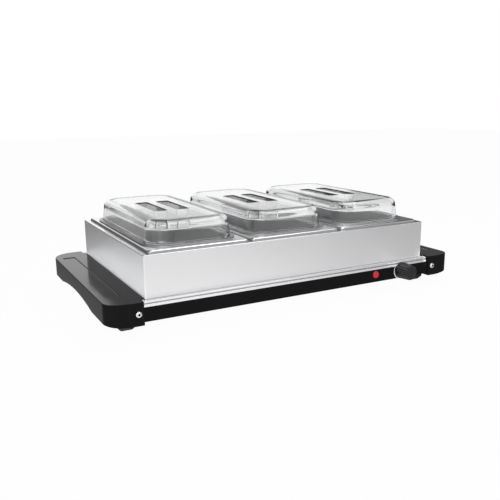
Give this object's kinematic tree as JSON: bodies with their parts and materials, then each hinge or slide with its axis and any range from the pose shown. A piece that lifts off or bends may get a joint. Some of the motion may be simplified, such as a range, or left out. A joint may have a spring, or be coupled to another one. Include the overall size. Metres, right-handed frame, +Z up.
{
  "type": "electric food warmer tray",
  "caption": "Electric buffet warmer: stepped hot plate on a black base with end handles, a stainless frame holding food pans under clear lift-off lids.",
  "frame": {"origin": "on the table under the middle of the tray", "axes": "+X along the tray towards the knob end, -Y towards the user and the control panel, +Z up"},
  "size_m": [0.666, 0.4109, 0.165],
  "materials": {
    "stainless": "brushed along its length",
    "pan_steel": "drawn and polished",
    "clear_lid": "clear, smooth",
    "black_panel": "gloss black",
    "black_handle": "finely grained",
    "knob_black": "satin",
    "red_lens": "clear red",
    "rubber": "matt",
    "steel": "plain",
    "bright_screw": "plated",
    "element": "heat-tinted sheath",
    "reflector": "bright",
    "moulded_dark": "moulded",
    "moulded_pale": "moulded",
    "galvanised": "galvanised sheet"
  },
  "bodies": {
    "base": {"base_housing": "black_panel", "bottom_cover": "galvanised", "bottom_screws": "steel", "warming_plate": "stainless", "heating_element": "element", "element_clips": "steel", "heat_reflector": "reflector", "reflector_posts": "steel", "thermostat_body": "moulded_dark", "indicator_lens": "red_lens", "indicator_holder": "moulded_pale", "indicator_nut": "steel", "terminal_block": "moulded_pale", "thermal_fuse": "steel", "strain_relief": "moulded_dark", "handle_right": "black_handle", "handle_left": "black_handle", "bracket_right": "steel", "bracket_left": "steel", "bracket_screws": "steel", "handle_screws": "bright_screw", "feet": "rubber", "foot_screws": "steel"},
    "knob": {"control_knob": "knob_black", "thermostat_shaft": "steel"},
    "frame": {"buffet_frame": "stainless"},
    "food_pan_left": {"pan_left": "pan_steel"},
    "cover_left": {"lid_left": "clear_lid"},
    "food_pan_centre": {"pan_centre": "pan_steel"},
    "cover_centre": {"lid_centre": "clear_lid"},
    "food_pan_right": {"pan_right": "pan_steel"},
    "cover_right": {"lid_right": "clear_lid"}
  },
  "joints": [
    {"name": "knob_turn", "type": "hinge", "parent": "base", "child": "knob", "pos_m": [0.217, -0.19, 0.038], "axis": [0, 1, 0], "range_deg": [0, 270]},
    {"name": "frame_lift", "type": "slide", "parent": "base", "child": "frame", "axis": [0, 0, 1], "range_m": [0, 0.1]},
    {"name": "pan_left_lift", "type": "slide", "parent": "frame", "child": "food_pan_left", "axis": [0, 0, 1], "range_m": [0, 0.12]},
    {"name": "lid_left_lift", "type": "slide", "parent": "food_pan_left", "child": "cover_left", "axis": [0, 0, 1], "range_m": [0, 0.1]},
    {"name": "pan_centre_lift", "type": "slide", "parent": "frame", "child": "food_pan_centre", "axis": [0, 0, 1], "range_m": [0, 0.12]},
    {"name": "lid_centre_lift", "type": "slide", "parent": "food_pan_centre", "child": "cover_centre", "axis": [0, 0, 1], "range_m": [0, 0.1]},
    {"name": "pan_right_lift", "type": "slide", "parent": "frame", "child": "food_pan_right", "axis": [0, 0, 1], "range_m": [0, 0.12]},
    {"name": "lid_right_lift", "type": "slide", "parent": "food_pan_right", "child": "cover_right", "axis": [0, 0, 1], "range_m": [0, 0.1]}
  ]
}
